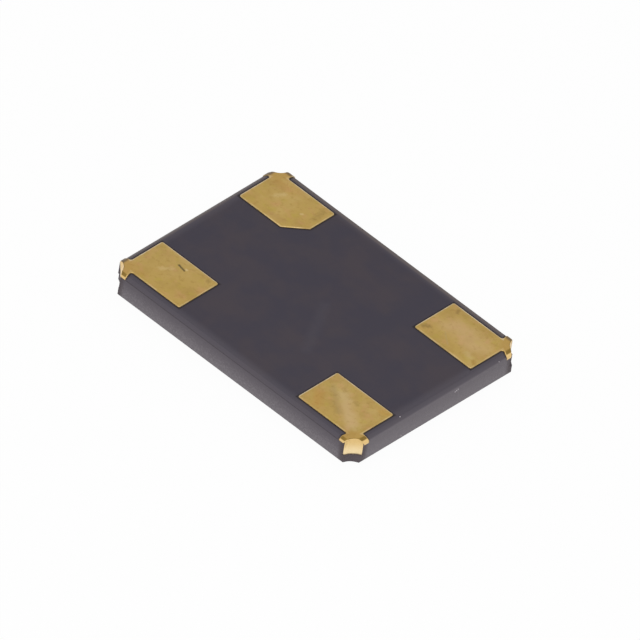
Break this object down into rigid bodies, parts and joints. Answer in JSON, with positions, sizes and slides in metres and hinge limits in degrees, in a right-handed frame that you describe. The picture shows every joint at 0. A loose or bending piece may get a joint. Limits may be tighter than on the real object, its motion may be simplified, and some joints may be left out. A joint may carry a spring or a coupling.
{
  "type": "crystal oscillator",
  "caption": "Leadless surface-mount crystal oscillator: dark ceramic body with gold corner terminals, a welded metal lid, and its chip and quartz blank inside.",
  "frame": {"origin": "centre of the lid's outer face, on the surface that the part lies on", "axes": "+X along the package's length, +Y along its width, +Z from the lid up through the solder terminals"},
  "size_m": [0.007, 0.005, 0.0009],
  "materials": {
    "black_ceramic": "matte, fine grain, co-fired alumina",
    "gold_plating": "satin gold over nickel, faintly mottled",
    "printed_metal": "dull printed tungsten with a nickel flash",
    "silver_braze": "satin silver-copper braze",
    "nickel_plated_alloy": "satin nickel plate",
    "nickel_plated_lid": "rolled nickel plate with welded rim",
    "silver_adhesive": "matte silver-filled adhesive",
    "silicon": "polished dark silicon",
    "gold_wire": "bright gold wire",
    "quartz": "clear lapped quartz",
    "electrode_film": "bright gold film"
  },
  "bodies": {
    "root": {"ceramic_body": "black_ceramic", "terminal_1": "gold_plating", "terminal_2": "gold_plating", "terminal_3": "gold_plating", "terminal_4": "gold_plating", "inner_lead_1": "printed_metal", "inner_lead_2": "printed_metal", "inner_lead_3": "printed_metal", "inner_lead_4": "printed_metal", "crystal_lead_1": "printed_metal", "crystal_lead_2": "printed_metal", "seal_metallization": "printed_metal", "ring_braze": "silver_braze", "seal_ring": "nickel_plated_alloy", "lid": "nickel_plated_lid", "die_attach": "silver_adhesive", "oscillator_chip": "silicon", "bond_wire_1": "gold_wire", "bond_wire_2": "gold_wire", "bond_wire_3": "gold_wire", "bond_wire_4": "gold_wire", "bond_wire_5": "gold_wire", "bond_wire_6": "gold_wire", "quartz_blank": "quartz", "upper_electrode": "electrode_film", "lower_electrode": "electrode_film", "mount_adhesive_1": "silver_adhesive", "mount_adhesive_2": "silver_adhesive"}
  },
  "joints": []
}
